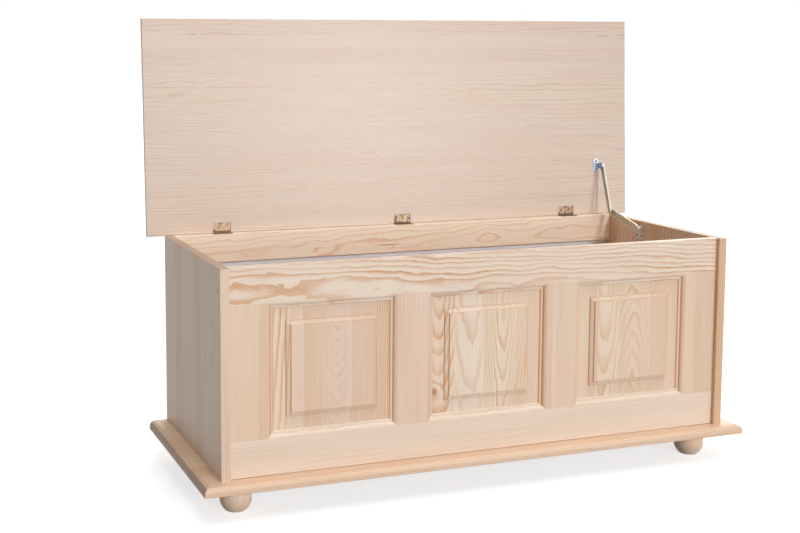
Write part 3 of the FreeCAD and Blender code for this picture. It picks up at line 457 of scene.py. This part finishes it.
def pine_material(name, low, high, board):
    made, graph = material("pine_" + name)
    place = graph.node("ShaderNodeTexCoord")
    axes = board_axes(graph, place, low, high, board)
    along, across, through = axes
    width = MM * (high - low)["xyz".index(board.grain[1])]
    (tone, tan, contrast, shift), cut = stave_numbers(graph, board, across, width)
    moved = graph.total(along, graph.math("MULTIPLY", shift, STAVE_STEP), BOARD_STEP * board.seed)
    point = graph.combine(moved, across, through)
    dark, swerve = spot_marks(graph, board, along, across)
    late = late_wood(graph, board, axes, point, contrast, shift, cut, swerve)
    streak = graph.noise(point, STREAK, 3.0, 0.6)
    fibre = graph.noise(point, FIBRE, 2.0, 0.6)
    facing = graph.vector("ABSOLUTE", turned(graph, place.outputs["Normal"], board.turn))
    facing = dict(zip("xyz", graph.separate(facing)))

    # Early and late wood, tanned in clouds and where the face was routed; the routed tan is partly painted
    # warm shade of the moulded faces
    tan = graph.math("ADD", tan, graph.centred(graph.noise(point, CLOUD), CLOUD_TAN))
    if board.routed_tan_and_shade:
        tan = graph.math("ADD", tan, graph.remap(facing[board.grain[1]], 0.1, 0.5, 0.0, board.routed_tan_and_shade))
    late_share = graph.math("MULTIPLY", late, contrast)
    factor = graph.math("MULTIPLY_ADD", graph.math("SUBTRACT", 1.0, tan), late_share, tan, clamp=True)
    early_colour = graph.mix(tone, EARLY_PINK, EARLY_YELLOW)
    late_colour = graph.mix(tone, LATE_PINK, LATE_YELLOW)
    colour = graph.mix(factor, early_colour, late_colour)
    if board.spots:
        colour = graph.mix(dark, colour, SPOT_WOOD)
    light = graph.math("MULTIPLY_ADD", graph.centred(streak, 1.0), STREAK_SHADE, board.value)
    light = graph.math("MULTIPLY_ADD", graph.centred(fibre, 1.0), FIBRE_SHADE, light)
    colour = graph.mix(1.0, colour, graph.combine(light, light, light), "MULTIPLY")
    colour = end_grain(graph, board, point, facing, colour)

    roughness = graph.math("MULTIPLY_ADD", late, -LATE_SHINE, graph.remap(streak, 0.2, 0.8, *board.rough))
    height = graph.math("MULTIPLY_ADD", late, 0.35, graph.math("MULTIPLY_ADD", fibre, 0.5, streak))
    surface(graph, colour, roughness, height, PINE_BUMP, Specular_IOR_Level=PINE_SPECULAR)
    return made


# Plated steels: four colours, smoothest and roughest, length of the drift in millimetres, metallic share
BRIGHT_ZINC = [srgb(184, 192, 210), srgb(168, 176, 194), srgb(202, 209, 224), srgb(148, 158, 176)]
GREY_ZINC = [srgb(226, 222, 214), srgb(214, 210, 202), srgb(234, 230, 222), srgb(196, 192, 186)]
BEIGE_ZINC = [srgb(232, 220, 198), srgb(222, 210, 186), srgb(238, 228, 208), srgb(204, 192, 170)]
DARK_STEEL = [srgb(92, 82, 78), srgb(78, 68, 66), srgb(110, 100, 94), srgb(60, 54, 52)]
METALS = {
    "bright_zinc": (BRIGHT_ZINC, (0.3, 0.45), 9.0, 0.9),
    "grey_zinc": (GREY_ZINC, (0.45, 0.6), 9.0, 0.2),
    "beige_zinc": (BEIGE_ZINC, (0.45, 0.6), 9.0, 0.1),
    "dark_steel": (DARK_STEEL, (0.4, 0.55), 5.0, 0.6),
}
METAL_OF = {
    "stay_upper_arm": "grey_zinc",
    "stay_lower_arm": "beige_zinc",
    "stay_side_bracket": "grey_zinc",
    "stay_upper_knee_rivet": "grey_zinc",
    "stay_lower_knee_rivet": "grey_zinc",
    "stay_side_rivet": "grey_zinc",
    "stay_lid_screws": "dark_steel",
    "stay_side_screws": "dark_steel",
}
OTHER_METAL = "bright_zinc"
METAL_MOTTLE = (1.2, 1.2, 1.2)
METAL_BUMP = (0.1, 0.0001)

# Colours of the hinges, at levels of the drift between them, then a painted glint colour and a painted shade
# colour for the knuckles
HINGE_PATCHES = [(0.34, srgb(86, 66, 56)), (0.42, srgb(124, 98, 84)), (0.5, srgb(150, 122, 106)),
                 (0.58, srgb(136, 116, 90)), (0.66, srgb(98, 90, 66))]
HINGE_PAINTED_GLINT = srgb(224, 200, 182)
KNUCKLE_PAINTED_SHADE = srgb(66, 58, 42)
HINGE_DRIFT = (9, 9, 9)
HINGE_BUMP = (0.15, 0.0001)
# Reach from the pin of the painted knuckle shade, and its blur, in millimetres
KNUCKLE_MM = 2.7
KNUCKLE_BLUR_MM = 0.6

# Colours of the hardboard, and lengths of its fibres and clouds in millimetres
WHITE_FACE = (srgb(230, 238, 255), srgb(236, 243, 255))
BROWN_FIBRE = (srgb(118, 82, 54), srgb(150, 110, 76))
BROWN_CLOUD = srgb(136, 92, 58)
HARDBOARD_FIBRE = (1.6, 1.6, 1.6)
HARDBOARD_CLOUD = (60, 60, 60)
HARDBOARD_BUMP = (0.4, 0.0003)
HARDBOARD_SPECULAR = 0.35


def metal_material(name, colours, roughness, scale, metallic):
    """Plated steel whose colour drifts over the piece."""
    made, graph = material(name)
    place = graph.vector("MULTIPLY", graph.node("ShaderNodeTexCoord").outputs["Object"], (MM, MM, MM))
    drift = graph.noise(place, (scale, scale, scale))
    mottle = graph.noise(place, METAL_MOTTLE, 3.0, 0.6)
    base = graph.mix(graph.remap(drift, 0.3, 0.5), colours[0], colours[1])
    base = graph.mix(graph.remap(drift, 0.5, 0.7), base, colours[2])
    base = graph.mix(graph.remap(mottle, 0.3, 0.7, 0.0, 0.25), base, colours[3])
    rough = graph.remap(mottle, 0.2, 0.8, roughness[0], roughness[1])
    surface(graph, base, rough, mottle, METAL_BUMP, Metallic=metallic)
    return made


def hinge_material():
    """Yellow passivated steel in patches from brown to olive, with painted glints, and painted shade
    darkening it around the knuckles.
    """
    made, graph = material("hinge_steel")
    place = graph.vector("MULTIPLY", graph.node("ShaderNodeTexCoord").outputs["Object"], (MM, MM, MM))
    drift = graph.noise(place, HINGE_DRIFT, 1.0)
    mottle = graph.noise(place, METAL_MOTTLE, 3.0, 0.6)
    colour = HINGE_PATCHES[0][1]
    for (low, _), (high, patch) in zip(HINGE_PATCHES, HINGE_PATCHES[1:]):
        colour = graph.mix(graph.remap(drift, low, high), colour, patch)
    # Painted glints: a pale colour mixed in where the fine mottle is high.
    colour = graph.mix(graph.remap(mottle, 0.5, 0.75, 0.0, 0.5), colour, HINGE_PAINTED_GLINT)
    # Painted shade: the colour turns dark near the hinge pin, standing in for the shade on the knuckles.
    pin = next(joint["pos_m"] for joint in frame["joints"] if joint["name"] == "lid_hinge")
    away = graph.vector("SUBTRACT", place, tuple(MM * value for value in pin))
    away = graph.vector("MULTIPLY", away, (0, 1, 1))
    distance = graph.vector("LENGTH", away)
    painted_knuckle_shade = graph.remap(distance, KNUCKLE_MM, KNUCKLE_MM + KNUCKLE_BLUR_MM, 0.8, 0.0)
    colour = graph.mix(painted_knuckle_shade, colour, KNUCKLE_PAINTED_SHADE)
    roughness = graph.remap(mottle, 0.2, 0.8, 0.3, 0.45)
    surface(graph, colour, roughness, mottle, HINGE_BUMP, Metallic=1.0)
    return made


def hardboard_material():
    """Thin board, white on the inside face and bare brown fibre behind."""
    made, graph = material("hardboard")
    place = graph.node("ShaderNodeTexCoord")
    point = graph.vector("MULTIPLY", place.outputs["Object"], (MM, MM, MM))
    back = graph.remap(graph.separate(place.outputs["Normal"])[1], -0.6, -0.4)
    fibre = graph.noise(point, HARDBOARD_FIBRE, 4.0, 0.65)
    cloud = graph.noise(point, HARDBOARD_CLOUD)
    white = graph.mix(graph.remap(cloud, 0.3, 0.7), *WHITE_FACE)
    brown = graph.mix(graph.remap(fibre, 0.3, 0.7), *BROWN_FIBRE)
    brown = graph.mix(graph.remap(cloud, 0.3, 0.7, 0.0, 0.4), brown, BROWN_CLOUD)
    colour = graph.mix(back, white, brown)
    roughness = graph.remap(fibre, 0.2, 0.8, 0.45, 0.6)
    height = graph.math("MULTIPLY", fibre, back)
    surface(graph, colour, roughness, height, HARDBOARD_BUMP, Specular_IOR_Level=HARDBOARD_SPECULAR)
    return made


def dress(name, made):
    for slot in frame["nodes"][name].material_slots:
        slot.material = made


def dress_all():
    metals = {name: metal_material(name, *numbers) for name, numbers in METALS.items()}
    hinge = hinge_material()
    for name in frame["nodes"]:
        if name in BOARDS:
            dress(name, pine_material(name, *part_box(name), BOARDS[name]))
        elif name == "back_panel":
            dress(name, hardboard_material())
        elif "hinge" in name:
            dress(name, hinge)
        else:
            dress(name, metals[METAL_OF.get(name, OTHER_METAL)])


def seen_rays(graph):
    """1 for rays that show the surroundings: from the camera, from gloss and through glass."""
    path = graph.node("ShaderNodeLightPath").outputs
    shown = graph.math("ADD", path["Is Camera Ray"], path["Is Glossy Ray"])
    return graph.math("ADD", shown, path["Is Transmission Ray"], clamp=True)


def surroundings():
    world = bpy.data.worlds.new("studio")
    bpy.context.scene.world = world
    world.use_nodes = True
    graph = Graph(world.node_tree)
    lighting = graph.node("ShaderNodeBackground", {"Color": AMBIENT_COLOUR, "Strength": AMBIENT})
    shown = graph.node("ShaderNodeBackground", {"Color": (1, 1, 1, 1), "Strength": 1.0})
    inputs = {0: seen_rays(graph), 1: lighting.outputs[0], 2: shown.outputs[0]}
    both = graph.node("ShaderNodeMixShader", inputs)
    graph.node("ShaderNodeOutputWorld", {"Surface": both.outputs[0]})


def floor():
    mesh = bpy.data.meshes.new("floor")
    half = FLOOR_SIZE / 2
    corners = [(-half, -half), (half, -half), (half, half), (-half, half)]
    mesh.from_pydata([(x, y, -FLOOR_DROP) for x, y in corners], [], [(0, 1, 2, 3)])
    ground = bpy.data.objects.new("floor", mesh)
    bpy.context.scene.collection.objects.link(ground)
    made, graph = material("pale_floor")
    paint = graph.node("ShaderNodeBsdfDiffuse", {"Color": (*FLOOR_COLOUR, 1.0)})
    strength = graph.math("MULTIPLY", seen_rays(graph), FLOOR_GLOW)
    glow = graph.node("ShaderNodeEmission", {"Strength": strength})
    both = graph.node("ShaderNodeAddShader", {0: paint.outputs[0], 1: glow.outputs[0]})
    graph.node("ShaderNodeOutputMaterial", {"Surface": both.outputs[0]})
    mesh.materials.append(made)


def sun(name, azimuth, elevation, strength, softness, colour):
    lamp = bpy.data.lights.new(name, "SUN")
    lamp.energy = strength
    lamp.color = colour
    lamp.angle = math.radians(softness)
    holder = bpy.data.objects.new(name, lamp)
    bpy.context.scene.collection.objects.link(holder)
    level = math.cos(math.radians(elevation))
    towards = Vector((math.sin(math.radians(azimuth)) * level, -math.cos(math.radians(azimuth)) * level,
                      math.sin(math.radians(elevation))))
    holder.rotation_euler = towards.to_track_quat("Z", "Y").to_euler()


def camera():
    lens = bpy.data.cameras.new("camera")
    lens.sensor_width = SENSOR_MM
    lens.lens = FOCAL_PX * SENSOR_MM / IMAGE_WIDTH
    lens.shift_x = (IMAGE_WIDTH / 2 - CENTRE_PX[0]) / IMAGE_WIDTH
    lens.shift_y = (CENTRE_PX[1] - IMAGE_HEIGHT / 2) / IMAGE_WIDTH
    holder = bpy.data.objects.new("camera", lens)
    holder.location = EYE
    holder.rotation_euler = (math.radians(90 - PITCH), 0.0, math.radians(-YAW))
    bpy.context.scene.collection.objects.link(holder)
    bpy.context.scene.camera = holder


bpy.context.scene.view_settings.view_transform = "Standard"
dress_all()
surroundings()
floor()
sun("key", **KEY)
sun("top", **TOP)
sun("low", **LOW)
sun("back", **BACK)
camera()
